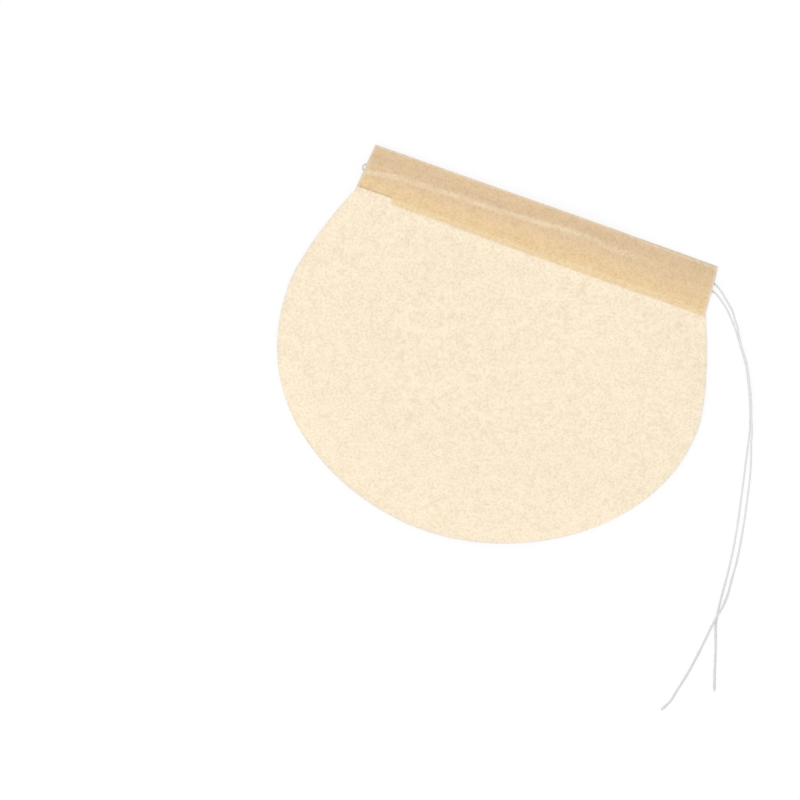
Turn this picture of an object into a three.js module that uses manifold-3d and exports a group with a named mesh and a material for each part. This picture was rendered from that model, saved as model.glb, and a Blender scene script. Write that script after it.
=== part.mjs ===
// A drawstring tea filter bag, empty and new, lying flat on a table.
// Millimetres, +Z up. X runs along the hem and +Y points to the bag's mouth.
// The origin is on the table, under the middle of the two paper panels.
import * as THREE from "three";
import { mergeVertices } from "three/addons/utils/BufferGeometryUtils.js";
import Module from "manifold-3d";

// Driving dimensions of the bag's outline
const bagWidth = 101; // across the widest place of the round body
const bagHeight = 80.7; // from the fold at the mouth to the lowest point of the rim
const widestDepth = 37.1; // from the fold down to the widest place
const hemTopWidth = 84.5;
const hemBottomWidth = 86.4;
const hemHeight = 11.5; // from the fold down to the flap's cut edge
const cornerRun = 6.5; // how far the side runs on below the hem before it bends
const cornerLean = 3.2; // how far it leans outwards on that stretch
const sideRound = 0.23; // share of the side's height over which it turns upright
const lowerRound = 0.64; // the same for the side's lower half
const bottomRound = 0.45; // share of the half width over which the bottom turns level
const bottomShift = 2; // the bottom is cut this far left of the hem's middle

// Driving dimensions of the paper
const paperThickness = 0.1;
const layerGap = 0.05; // air between two layers that lie on each other
const sealTop = 8; // from the fold down to the strip where the flap is sealed on
const sealInset = 0.3; // from the ends and the cut edge of the flap to that strip
const rimWidth = 1.5; // the sealed rim that joins the panels
const bellyRise = 1.2; // how far the front panel stands off the back one in the middle
const hemStepRun = 2.5; // the front panel comes down over this length below the flap

// Driving dimensions of the drawstring
const stringDiameter = 0.55;
const stringClearance = 0.05; // between the string and the paper above and below it
const frontStringDepth = 4; // from the fold down to the string in the front hem
const stringSpacing = 1.8; // from that run to the one in the rear hem, seen from above
const ridgeSlope = 0.8; // the paper comes down beside the string over this length
const tailGap = 0.3; // between the run in the hem and a free tail
const lieClearance = 0.03; // between a lying tail and the table

// How finely the curved pieces are divided
const columns = 18; // across a panel
const bodyRows = 12; // down the round body
const foldSteps = 4;
const stringSides = 8;
const runSteps = 8; // along one straight run in a hem
const loopSteps = 12; // round the loop at the hems' left end
const tailSteps = 64; // along one tail
const cornerShare = 0.56; // share of the half outline that bounds the grid's side, not its bottom

// Places that follow from the sizes
const topY = bagHeight / 2;
const hemBottomY = topY - hemHeight;
const widestY = topY - widestDepth;
const bottomY = topY - bagHeight;
const rimShare = rimWidth / (bagWidth / 2);
const layerPitch = paperThickness + layerGap;
const foldRadius = layerPitch / 2;
const backStringDepth = frontStringDepth + stringSpacing;
const stringRadius = stringDiameter / 2;
const crownHalfWidth = stringRadius + stringClearance;
const ridgeRise = stringDiameter + 2 * stringClearance - layerGap;

const halfHemWidth = (depth) =>
  THREE.MathUtils.lerp(hemTopWidth, hemBottomWidth, depth / hemHeight) / 2;

// The right half of the round body's outline, from the hem's corner to the lowest point,
// before the bottom is shifted.
function bodyOutline() {
  const corner = new THREE.Vector2(hemBottomWidth / 2, hemBottomY);
  const widest = new THREE.Vector2(bagWidth / 2, widestY);
  const lowest = new THREE.Vector2(0, bottomY);
  const cornerHandle = new THREE.Vector2(corner.x + cornerLean, corner.y - cornerRun);
  const sideHandle = new THREE.Vector2(widest.x, widestY + sideRound * (hemBottomY - widestY));
  const lowerHandle = new THREE.Vector2(widest.x, widestY - lowerRound * (widestY - bottomY));
  const bottomHandle = new THREE.Vector2(bottomRound * widest.x, bottomY);
  const outline = new THREE.CurvePath();
  outline.add(new THREE.CubicBezierCurve(corner, cornerHandle, sideHandle, widest));
  outline.add(new THREE.CubicBezierCurve(widest, lowerHandle, bottomHandle, lowest));
  return outline;
}

const outline = bodyOutline();

// How far to the left the body is cut, growing from nothing at the widest place downwards.
function leftShift(y) {
  return bottomShift * THREE.MathUtils.smoothstep(widestY - y, 0, widestY - bottomY);
}

// A point of the body between the hem and the rim: across is -1 to 1, down is 0 to 1.
// The four edges are the hem, the two sides and the bottom, and the inside blends them.
function bodyPoint(across, down) {
  const side = outline.getPointAt(cornerShare * down);
  const bottom = outline.getPointAt(1 - (1 - cornerShare) * Math.abs(across));
  const bottomCorner = outline.getPointAt(cornerShare);
  const hemX = (across * hemBottomWidth) / 2;
  const bottomX = Math.sign(across) * bottom.x;
  const cornerX = THREE.MathUtils.lerp(hemBottomWidth / 2, bottomCorner.x, down);
  const cornerY = THREE.MathUtils.lerp(hemBottomY, bottomCorner.y, down);
  const x = THREE.MathUtils.lerp(hemX, bottomX, down) + across * (side.x - cornerX);
  const y = THREE.MathUtils.lerp(hemBottomY, bottom.y, down) + side.y - cornerY;
  return new THREE.Vector2(x - leftShift(y), y);
}

// How far the paper rises where it crosses a string that lies at this depth.
function ridge(depth, stringDepth) {
  const beside = Math.abs(depth - stringDepth) - crownHalfWidth;
  return ridgeRise * THREE.MathUtils.clamp(1 - beside / ridgeSlope, 0, 1);
}

// Heights of the undersides of the four layers of paper in the hems.
const backWallHeight = () => 0;
const backFlapHeight = (depth) => layerPitch + ridge(depth, backStringDepth);
const frontFlapHeight = (depth) => layerPitch + backFlapHeight(depth);
const frontWallHeight = (depth) =>
  layerPitch + frontFlapHeight(depth) + ridge(depth, frontStringDepth);

// The depths at which the hem's section bends, shared by all four layers.
function hemDepths() {
  const bends = [foldRadius + paperThickness / 2, sealTop, hemHeight];
  for (const stringDepth of [frontStringDepth, backStringDepth]) {
    for (const reach of [crownHalfWidth, crownHalfWidth + ridgeSlope]) {
      bends.push(stringDepth - reach, stringDepth + reach);
    }
  }
  bends.sort((a, b) => a - b);
  return bends.filter((depth, i) => i === 0 || depth - bends[i - 1] > paperThickness);
}

// How far the front panel stands off the back one between the rim and the hem.
function belly(across, down) {
  const sideways = Math.min(1, Math.abs(across) / (1 - rimShare));
  const downwards = Math.min(1, down / (1 - rimShare));
  return bellyRise * (1 - sideways ** 4) * (1 - (2 * downwards - 1) ** 4);
}

const easeOut = (share) => 1 - THREE.MathUtils.smoothstep(share, 0, 1);

// Height of the front panel's underside below the hem.
function frontBodyHeight(across, down) {
  const step = frontWallHeight(hemHeight) - paperThickness;
  const depthBelowHem = down * (bagHeight - hemHeight);
  return paperThickness + belly(across, down) + step * easeOut(depthBelowHem / hemStepRun);
}

// The shares of the body's height at which a row of the grid lies: two rows take the step
// below the hem, and the last one takes the sealed rim.
function bodyDowns() {
  const bodyHeight = bagHeight - hemHeight;
  const stepEnd = hemStepRun / bodyHeight;
  const downs = [stepEnd / 2, stepEnd];
  for (let i = 1; i <= bodyRows; i++) {
    downs.push(THREE.MathUtils.lerp(stepEnd, 1 - rimShare, i / bodyRows));
  }
  return [...downs, 1];
}

// One sheet of paper from the flap's cut edge, up to the fold, and down to the rim.
// Each row is a function of the place across and of the side of the paper, -1 or 1.
function panelRows(flapHeightAt, wallHeightAt, bodyHeightAt) {
  const rows = [];
  const depths = hemDepths();
  const layerRow = (depth, heightAt) => (across, side) =>
    new THREE.Vector3(
      across * halfHemWidth(depth),
      topY - depth,
      heightAt(depth) + (paperThickness / 2) * (1 + side),
    );
  const turned = (row) => (across, side) => row(across, -side);
  for (const depth of [...depths].reverse()) {
    rows.push(turned(layerRow(depth, flapHeightAt)));
  }
  const foldDepth = depths[0];
  const flapMiddle = flapHeightAt(foldDepth) + paperThickness / 2;
  const wallMiddle = wallHeightAt(foldDepth) + paperThickness / 2;
  const foldMiddle = (flapMiddle + wallMiddle) / 2;
  const upOrDown = Math.sign(flapMiddle - wallMiddle);
  for (let i = 1; i < foldSteps; i++) {
    const angle = (Math.PI * i) / foldSteps;
    rows.push((across, side) => {
      const radius = foldRadius - (upOrDown * side * paperThickness) / 2;
      return new THREE.Vector3(
        across * halfHemWidth(foldDepth),
        topY - foldDepth + radius * Math.sin(angle),
        foldMiddle + upOrDown * radius * Math.cos(angle),
      );
    });
  }
  for (const depth of depths) {
    rows.push(layerRow(depth, wallHeightAt));
  }
  for (const down of bodyDowns()) {
    rows.push((across, side) => {
      const place = bodyPoint(across, down);
      const height = bodyHeightAt(across, down) + (paperThickness / 2) * (1 + side);
      return new THREE.Vector3(place.x, place.y, height);
    });
  }
  return rows;
}

// The places of the grid's columns, with one narrow column on each side for the rim.
function columnAcross(i) {
  const inner = 1 - rimShare;
  if (i === 0) return -1;
  if (i === columns) return 1;
  return THREE.MathUtils.lerp(-inner, inner, (i - 1) / (columns - 2));
}

// A box with one cell between neighbouring rows and columns, bent to the rows' places.
function bentBox(rows, acrossAt, columnCount) {
  const rowCount = rows.length - 1;
  const geometry = new THREE.BoxGeometry(1, 1, 1, columnCount, rowCount, 1);
  const places = geometry.getAttribute("position");
  for (let k = 0; k < places.count; k++) {
    const column = Math.round((places.getX(k) + 0.5) * columnCount);
    const row = Math.round((0.5 - places.getY(k)) * rowCount);
    const side = Math.sign(places.getZ(k));
    const place = rows[row](acrossAt(column), side);
    places.setXYZ(k, place.x, place.y, place.z);
  }
  geometry.deleteAttribute("normal");
  geometry.deleteAttribute("uv");
  return mergeVertices(geometry);
}

// The strip where the flap and the wall behind it are one thickness of sealed paper.
function sealStrip(lowerHeightAt, upperHeightAt) {
  const ends = [sealTop, hemHeight - sealInset];
  const rows = ends.map((depth) => (across, side) => {
    const lower = lowerHeightAt(depth) + paperThickness / 2;
    const upper = upperHeightAt(depth) + paperThickness / 2;
    const x = across * (halfHemWidth(depth) - sealInset);
    return new THREE.Vector3(x, topY - depth, side < 0 ? lower : upper);
  });
  return bentBox(rows, (column) => 2 * column - 1, 1);
}

const wasm = await Module();
wasm.setup();

function solidOf(geometry) {
  const vertProperties = geometry.getAttribute("position").array;
  const triVerts = new Uint32Array(geometry.index.array);
  return new wasm.Manifold(new wasm.Mesh({ numProp: 3, vertProperties, triVerts }));
}

function geometryOf(solid) {
  const mesh = solid.getMesh();
  const geometry = new THREE.BufferGeometry();
  geometry.setAttribute("position", new THREE.BufferAttribute(mesh.vertProperties, 3));
  geometry.setIndex(new THREE.BufferAttribute(mesh.triVerts, 1));
  geometry.computeVertexNormals();
  return geometry;
}

function joined(first, second) {
  return geometryOf(solidOf(first).add(solidOf(second)));
}

// A path that is stepped through at its own listed points, not at equal lengths.
class ListedPath extends THREE.Curve {
  constructor(points) {
    super();
    this.points = points;
  }
  getPoint(share) {
    const along = share * (this.points.length - 1);
    const before = Math.min(Math.floor(along), this.points.length - 2);
    return this.points[before].clone().lerp(this.points[before + 1], along - before);
  }
  getPointAt(share) {
    return this.getPoint(share);
  }
  getTangentAt(share) {
    return this.getTangent(share);
  }
}

// A round string along a path.
function stringAlong(path, steps) {
  const section = new THREE.Shape();
  for (let i = 0; i < stringSides; i++) {
    const angle = (2 * Math.PI * i) / stringSides;
    const x = stringRadius * Math.cos(angle);
    const y = stringRadius * Math.sin(angle);
    if (i === 0) section.moveTo(x, y);
    else section.lineTo(x, y);
  }
  return new THREE.ExtrudeGeometry(section, { steps, extrudePath: path });
}

// Heights of the string's middle in each hem: it lies on the layer of paper below it.
const frontStringZ = () =>
  frontFlapHeight(frontStringDepth) + paperThickness + stringClearance + stringRadius;
const backStringZ = () => paperThickness + stringClearance + stringRadius;

// The stretch in the hems: in at the right end of the front hem, along it, round in a loop
// just past its left end, and back along the rear hem.
function runPath() {
  const frontStart = new THREE.Vector3(
    halfHemWidth(frontStringDepth),
    topY - frontStringDepth,
    frontStringZ(),
  );
  const backEnd = new THREE.Vector3(
    halfHemWidth(backStringDepth),
    topY - backStringDepth,
    backStringZ(),
  );
  const turnX = -halfHemWidth(backStringDepth);
  const frontTurn = new THREE.Vector3(turnX, frontStart.y, frontStart.z);
  const backTurn = new THREE.Vector3(turnX, backEnd.y, backEnd.z);
  const points = [];
  for (let i = 0; i < runSteps; i++) {
    points.push(frontStart.clone().lerp(frontTurn, i / runSteps));
  }
  for (let i = 0; i < loopSteps; i++) {
    const angle = (Math.PI * i) / loopSteps;
    const place = frontTurn.clone().lerp(backTurn, (1 - Math.cos(angle)) / 2);
    place.x -= (stringSpacing / 2) * Math.sin(angle);
    points.push(place);
  }
  for (let i = 0; i <= runSteps; i++) {
    points.push(backTurn.clone().lerp(backEnd, i / runSteps));
  }
  return new ListedPath(points);
}

// The free tails, point by point: out of the hem's right end, down to the table and along
// it. The front tail lies on the rear one for a short way, and later passes over it again in
// a low hump where they cross.
const lieZ = stringRadius + lieClearance;
const humpZ = lieZ + stringDiameter + 2 * lieClearance;
const rampZ = (lieZ + humpZ) / 2;
const frontTailRoute = [
  [halfHemWidth(frontStringDepth) + tailGap, topY - frontStringDepth, frontStringZ()],
  [43.75, 35.75, 0.71],
  [45.15, 34.8, 0.61],
  [46.95, 33.3, 0.46],
  [48.9, 31.6, 0.355],
  [50.35, 29.6, 0.345],
  [51.2, 28.45, rampZ],
  [51.82, 27.3, humpZ],
  [53.4, 24.72, humpZ],
  [56.02, 21.1, humpZ],
  [58.1, 17.14, humpZ],
  [60.04, 12.96, humpZ],
  [61.04, 10.17, humpZ],
  [62.2, 7.35, humpZ],
  [62.7, 5.95, rampZ],
  [63.15, 4.5, 0.33],
  [63.55, 3.25, lieZ],
  [65.2, -1.85, lieZ],
  [66.95, -9.45, lieZ],
  [68.2, -15.85, lieZ],
  [69.2, -22.4, lieZ],
  [69.6, -27.6, lieZ],
  [69.8, -31, rampZ],
  [69.6, -33.8, humpZ],
  [69.1, -36.5, humpZ],
  [68.7, -39.2, humpZ],
  [68.4, -42.2, rampZ],
  [68, -46, lieZ],
  [67.2, -51.2, lieZ],
  [66.1, -56.2, lieZ],
  [65.7, -58.2, lieZ],
  [64.5, -60.9, lieZ],
];
const backTailRoute = [
  [halfHemWidth(backStringDepth) + tailGap, topY - backStringDepth, backStringZ()],
  [43.75, 34.2, 0.41],
  [44.95, 33.5, 0.35],
  [47.1, 31.9, lieZ],
  [49.1, 29.9, lieZ],
  [51.3, 27.35, lieZ],
  [53.75, 24, lieZ],
  [56.13, 20.56, lieZ],
  [58.2, 16.5, lieZ],
  [59.82, 12.88, lieZ],
  [60.57, 10.93, lieZ],
  [61.8, 7.24, lieZ],
  [62.5, 4.24, lieZ],
  [64.1, -3.1, lieZ],
  [65.6, -10.1, lieZ],
  [67.1, -17.8, lieZ],
  [68.1, -25.2, lieZ],
  [68.6, -31.3, lieZ],
  [69, -35.2, lieZ],
  [69.6, -38.4, lieZ],
  [70.7, -41.6, lieZ],
  [71.9, -45.2, lieZ],
  [73, -48.8, lieZ],
  [74.3, -52.7, lieZ],
];

function tailAlong(route) {
  const points = route.map(([x, y, z]) => new THREE.Vector3(x, y, z));
  return stringAlong(new THREE.CatmullRomCurve3(points, false, "centripetal"), tailSteps);
}

// Unbleached filter paper and white cotton string.
const filterPaper = { color: 0xdcc39a, roughness: 0.95, metalness: 0 };
const cottonString = { color: 0xf3f1ec, roughness: 0.9, metalness: 0 };

function piece(name, geometry, finish) {
  const mesh = new THREE.Mesh(geometry, new THREE.MeshStandardMaterial(finish));
  mesh.name = name;
  return mesh;
}

function backPanel() {
  const rows = panelRows(backFlapHeight, backWallHeight, backWallHeight);
  const sheet = bentBox(rows, columnAcross, columns);
  return joined(sheet, sealStrip(backWallHeight, backFlapHeight));
}

function frontPanel() {
  const rows = panelRows(frontFlapHeight, frontWallHeight, frontBodyHeight);
  const sheet = bentBox(rows, columnAcross, columns);
  return joined(sheet, sealStrip(frontFlapHeight, frontWallHeight));
}

const bag = new THREE.Group();
bag.add(piece("back_panel", backPanel(), filterPaper));
bag.add(piece("front_panel", frontPanel(), filterPaper));

const drawstring = new THREE.Group();
const runStepCount = 2 * runSteps + loopSteps;
drawstring.add(piece("drawstring_run", stringAlong(runPath(), runStepCount), cottonString));
drawstring.add(piece("drawstring_front_tail", tailAlong(frontTailRoute), cottonString));
drawstring.add(piece("drawstring_back_tail", tailAlong(backTailRoute), cottonString));
bag.add(drawstring);

export default bag;
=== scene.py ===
# Drawstring tea filter bag, empty and new, lying flat on a white table.
# Metres, +Z up. X runs along the hem and +Y points to the bag's mouth.
import math

import bpy
import numpy as np
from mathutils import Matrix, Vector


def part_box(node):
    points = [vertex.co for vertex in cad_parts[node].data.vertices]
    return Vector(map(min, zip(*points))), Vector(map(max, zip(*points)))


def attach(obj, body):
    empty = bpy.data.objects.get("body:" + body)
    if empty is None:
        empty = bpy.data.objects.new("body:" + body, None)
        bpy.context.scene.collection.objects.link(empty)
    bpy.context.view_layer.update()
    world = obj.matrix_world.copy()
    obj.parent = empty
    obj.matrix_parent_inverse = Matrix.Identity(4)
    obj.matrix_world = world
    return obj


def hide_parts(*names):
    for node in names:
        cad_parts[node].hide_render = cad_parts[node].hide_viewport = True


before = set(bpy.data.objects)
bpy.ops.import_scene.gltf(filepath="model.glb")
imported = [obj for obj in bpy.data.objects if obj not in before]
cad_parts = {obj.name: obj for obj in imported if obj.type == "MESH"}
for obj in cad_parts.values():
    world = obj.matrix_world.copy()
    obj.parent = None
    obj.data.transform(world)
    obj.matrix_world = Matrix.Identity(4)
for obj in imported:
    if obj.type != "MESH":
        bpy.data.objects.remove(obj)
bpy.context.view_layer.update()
print("frame loaded")

mm = 0.001
collection = bpy.context.scene.collection

# The camera looks straight down, turned so that the hem runs down to the right
view = {
    "lens": 100.0,  # mm, a long lens, so that the bag keeps its true outline
    "sensor": 36.0,
    "widthOnTable": 0.18605,  # table seen from edge to edge of the picture
    "centre": (-0.01706, -0.01362),
    "turn": 19.52,  # degrees
}


def makeCamera():
    data = bpy.data.cameras.new("camera")
    data.lens = view["lens"]
    data.sensor_width = view["sensor"]
    camera = bpy.data.objects.new("camera", data)
    collection.objects.link(camera)
    distance = view["widthOnTable"] * view["lens"] / view["sensor"]
    camera.location = (*view["centre"], distance)
    camera.rotation_euler = (0.0, 0.0, math.radians(view["turn"]))
    bpy.context.scene.camera = camera


makeCamera()
print("camera placed")


# Smooth noise from -1 to 1: random numbers at the corners of a grid of cells, blended
# across each cell by 3t^2 - 2t^3 in both directions.
def softNoise(x, y, cellX, cellY, seed):
    size = 64
    table = np.random.default_rng(seed).uniform(-1.0, 1.0, (size, size))
    gridX = x / cellX
    gridY = y / cellY
    column = np.floor(gridX).astype(int)
    row = np.floor(gridY).astype(int)
    shareX = smoothStep(gridX - column)
    shareY = smoothStep(gridY - row)
    lower = mix(table[row % size, column % size], table[row % size, (column + 1) % size], shareX)
    row = row + 1
    upper = mix(table[row % size, column % size], table[row % size, (column + 1) % size], shareX)
    return mix(lower, upper, shareY)


def smoothStep(share):
    share = np.clip(share, 0.0, 1.0)
    return share * share * (3.0 - 2.0 * share)


def mix(a, b, share):
    return a + (b - a) * share


# Points at equal steps along a line of points, as near to the spacing as can be
def evenSteps(points, spacing):
    lengths = np.linalg.norm(np.diff(points, axis=0), axis=1)
    along = np.concatenate([[0.0], np.cumsum(lengths)])
    steps = max(1, round(along[-1] / spacing))
    wanted = np.linspace(0.0, along[-1], steps + 1)
    return np.stack([np.interp(wanted, along, column) for column in points.T], axis=1)


# A centripetal Catmull-Rom curve: one cubic piece between each two points of the route, with
# knots spaced by the square root of the distance, and the end points mirrored outwards.
def curveThrough(route, spacing):
    route = np.array(route, float)
    points = np.vstack([2 * route[0] - route[1], route, 2 * route[-1] - route[-2]])
    knot = np.sqrt(np.linalg.norm(np.diff(points, axis=0), axis=1))[:, None]
    k0, k1, k2 = knot[:-2], knot[1:-1], knot[2:]
    p0, p1, p2, p3 = points[:-3], points[1:-2], points[2:-1], points[3:]
    startSlope = k1 * ((p1 - p0) / k0 - (p2 - p0) / (k0 + k1) + (p2 - p1) / k1)
    endSlope = k1 * ((p2 - p1) / k1 - (p3 - p1) / (k1 + k2) + (p3 - p2) / k2)
    t = np.linspace(0.0, 1.0, 30, endpoint=False)[None, :, None]
    p1, p2 = p1[:, None], p2[:, None]
    startSlope, endSlope = startSlope[:, None], endSlope[:, None]
    cubic = (2 * t**3 - 3 * t**2 + 1) * p1 + (3 * t**2 - 2 * t**3) * p2
    cubic = cubic + (t**3 - 2 * t**2 + t) * startSlope + (t**3 - t**2) * endSlope
    line = np.vstack([cubic.reshape(-1, route.shape[1]), route[-1]])
    return evenSteps(line, spacing)


# Puts points and faces into a mesh object at the origin, shaded smooth.
def addObject(name, points, faces):
    mesh = bpy.data.meshes.new(name)
    mesh.from_pydata(points.tolist(), [], faces)
    mesh.polygons.foreach_set("use_smooth", np.ones(len(faces), bool))
    mesh.update()
    piece = bpy.data.objects.new(name, mesh)
    collection.objects.link(piece)
    return piece


def addFloats(piece, name, values):
    attribute = piece.data.attributes.new(name, "FLOAT", "POINT")
    attribute.data.foreach_set("value", np.ascontiguousarray(values, np.float32).ravel())


# The bag's sizes. Its width, length and height off the table come from the frame.
panelLow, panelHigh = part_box("front_panel")
bag = {
    "halfWidth": panelHigh.x,
    "topY": panelHigh.y,  # the fold at the mouth
    "bottomY": panelLow.y,
    "widestDepth": 0.0371,  # from the fold down to the widest place
    "hemTopWidth": 0.0845,
    "hemBottomWidth": 0.0864,
    "hemHeight": 0.0115,
    "cornerRun": 0.0065,  # how far the side runs on below the hem before it bends
    "cornerLean": 0.0032,
    "sideRound": 0.23,
    "lowerRound": 0.64,
    "bottomRound": 0.45,
    "bottomShift": 0.002,  # the bottom is cut this far left of the hem's middle
    "cornerShare": 0.56,
    "paper": 0.0001,  # thickness
    "layerPitch": 0.00015,
    "sealTop": 0.008,  # from the fold down to the strip where the flap is sealed on
    "rim": 0.0015,
    "belly": 0.0012,  # how far the front panel stands off the back one
    "stepRun": 0.0025,
    "ridgeRise": 0.0006,
    "ridgeCrown": 0.000325,
    "innerSlope": 0.0008,  # how far a layer takes to come down beside the string under it
    "innerUneven": 0.25,  # how much that length wanders along the hem
    "tentRise": 0.00076,  # the outermost layer spans both strings like a tent
    "tentUpperSlope": 0.0036,
    "tentLowerSlope": 0.0026,
    "tentUneven": 0.12,
    "unevenCell": 0.006,
    "crestRise": 0.00005,  # a sharp little crest along the string
    "crestSlope": 0.0004,
}
hemBottomY = bag["topY"] - bag["hemHeight"]
widestY = bag["topY"] - bag["widestDepth"]

# The drawstring: soft white cotton, three plies twisted together
string = {
    "diameter": 0.00055,
    "plies": 3,
    "creaseDepth": 0.28,  # of the radius, between two plies
    "bulgePower": 0.8,  # under 1 a ply is fuller than a cosine
    "plyWander": 0.05,  # how much a ply's own thickness wanders
    "plyWanderLength": 0.0011,
    "turn": 0.0016,  # along the string for one turn of a ply
    "sidesPerPly": 8,
    "ringSpacing": 0.00012,
    "tight": 0.88,  # of its diameter where it is twisted tight
    "loose": 1.14,  # and near its cut ends, where the plies come loose
    "loosensFrom": 0.05,  # along the tail
    "loosensOver": 0.04,
    "slub": 0.08,  # how much its thickness wanders
    "slubLength": 0.0017,
    "endFlare": 0.12,  # how much wider a cut end is
    "flareRun": 0.0016,
    "frontDepth": 0.004,  # from the fold down to the string in the front hem
    "backDepth": 0.0058,
    "frontHeight": 0.000725,
    "backHeight": 0.000425,
    "lie": 0.000305,  # height of its middle where it lies on the table
    "ramp": 0.00061,
    "hump": 0.000915,  # and where it passes over the other tail
    "lowest": 0.00001,  # a soft string is pressed flat here by the table
    "turnX": -0.0424,  # where it turns round at the hem's left end
    "loopSteps": 24,
}
# Where the string lies in the hems, as a shift down from its depth at the hem's right end
hemWander = [
    (-0.0460, 0.00095),
    (-0.0420, 0.00095),
    (-0.0345, 0.00102),
    (-0.0270, 0.00110),
    (-0.0210, 0.00110),
    (-0.0150, 0.00100),
    (-0.0100, 0.00098),
    (-0.0052, 0.00065),
    (0.0022, 0.00033),
    (0.0060, 0.0),
    (0.0105, -0.00010),
    (0.0147, 0.00008),
    (0.0180, 0.00042),
    (0.0225, 0.00038),
    (0.0290, 0.00025),
    (0.0360, 0.0),
    (0.0460, 0.0),
]
lie = string["lie"]
ramp = string["ramp"]
hump = string["hump"]
frontTailRoute = [
    (0.04258, 0.03635, string["frontHeight"]),
    (0.04375, 0.03575, 0.00071),
    (0.04515, 0.0348, 0.00061),
    (0.04695, 0.0333, 0.00046),
    (0.0489, 0.0316, 0.000355),
    (0.05035, 0.0296, 0.000345),
    (0.0512, 0.02845, ramp),
    (0.05182, 0.0273, hump),
    (0.0534, 0.02472, hump),
    (0.05602, 0.0211, hump),
    (0.0581, 0.01714, hump),
    (0.06004, 0.01296, hump),
    (0.06104, 0.01017, hump),
    (0.0622, 0.00735, hump),
    (0.0627, 0.00595, ramp),
    (0.06315, 0.0045, 0.00033),
    (0.06355, 0.00325, lie),
    (0.0652, -0.00185, lie),
    (0.06695, -0.00945, lie),
    (0.0682, -0.01585, lie),
    (0.0692, -0.0224, lie),
    (0.0696, -0.0276, lie),
    (0.0698, -0.031, ramp),
    (0.0696, -0.0338, hump),
    (0.0691, -0.0365, hump),
    (0.0687, -0.0392, hump),
    (0.0684, -0.0422, ramp),
    (0.068, -0.046, lie),
    (0.0672, -0.0512, lie),
    (0.0661, -0.0562, lie),
    (0.0657, -0.0582, lie),
    (0.0645, -0.0609, lie),
]
backTailRoute = [
    (0.04273, 0.03455, string["backHeight"]),
    (0.04375, 0.0342, 0.00041),
    (0.04495, 0.0335, 0.00035),
    (0.0471, 0.0319, lie),
    (0.0491, 0.0299, lie),
    (0.0513, 0.02735, lie),
    (0.05375, 0.024, lie),
    (0.05613, 0.02056, lie),
    (0.0582, 0.0165, lie),
    (0.05982, 0.01288, lie),
    (0.06057, 0.01093, lie),
    (0.0618, 0.00724, lie),
    (0.0625, 0.00424, lie),
    (0.0641, -0.0031, lie),
    (0.0656, -0.0101, lie),
    (0.0671, -0.0178, lie),
    (0.0681, -0.0252, lie),
    (0.0686, -0.0313, lie),
    (0.069, -0.0352, lie),
    (0.0696, -0.0384, lie),
    (0.0707, -0.0416, lie),
    (0.0719, -0.0452, lie),
    (0.073, -0.0488, lie),
    (0.0743, -0.0527, lie),
]


hemStep = 0.0005  # between the points of a curve along the hem


# A smooth curve through points (x, value), read at x
def alongHem(points, x):
    line = curveThrough(points, hemStep)
    return np.interp(x, line[:, 0], line[:, 1])


def wander(x):
    return alongHem(hemWander, x)


# The stretch in the hems: from the front hem's right end to the left, round in a half
# circle that eases from one height to the other, and back along the rear hem.
def runLine():
    rightFront = np.array(frontTailRoute[0])
    rightBack = np.array(backTailRoute[0])
    turnX = string["turnX"]
    frontX = np.arange(rightFront[0], turnX, -hemStep)
    backX = np.append(np.arange(turnX, rightBack[0], hemStep), rightBack[0])
    angle = np.linspace(0.0, math.pi, string["loopSteps"], endpoint=False)
    eased = (1 - np.cos(angle)) / 2
    radius = (rightFront[1] - rightBack[1]) / 2
    frontY = rightFront[1] - wander(frontX)
    backY = rightBack[1] - wander(backX)
    loopX = turnX - radius * np.sin(angle)
    loopY = mix(rightFront[1], rightBack[1], eased) - wander(loopX)
    loopZ = mix(rightFront[2], rightBack[2], eased)
    x = np.concatenate([frontX, loopX, backX])
    y = np.concatenate([frontY, loopY, backY])
    z = np.concatenate([frontX * 0 + rightFront[2], loopZ, backX * 0 + rightBack[2]])
    inFront = np.concatenate([frontX * 0 + 1, 1 - eased, backX * 0])
    z = z + sharedLift(x, y) + inFront * mouthGap(x, y)
    return evenSteps(np.stack([x, y, z], axis=1), string["ringSpacing"])


# How far both panels are off the table: wide, low waves that grow towards the rim and are
# gone at the hem's right end, where the string comes out.
lift = {
    "height": 0.0013,
    "cell": 0.027,
    "shiftX": 0.011,  # moves the pattern of the waves
    "shiftY": -0.004,
    "growsFrom": 0.25,  # share of the way from the middle to the rim
    "growsOver": 0.75,
    "ripple": 0.00022,  # short ripples close to the rim
    "rippleCell": 0.0075,
    "rippleFrom": 0.72,
    "rippleOver": 0.28,
    "calmX": 0.030,  # from here to the right the hem lies flat
    "calmRun": 0.018,
    "exitX": 0.02,  # the string's exit, from calmX to the right and from the fold down
    "exitDepth": 0.005,
    "exitCalm": 0.4,  # of calmRun, how far round the exit the paper lies flat
    "seed": 5,
}


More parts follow.
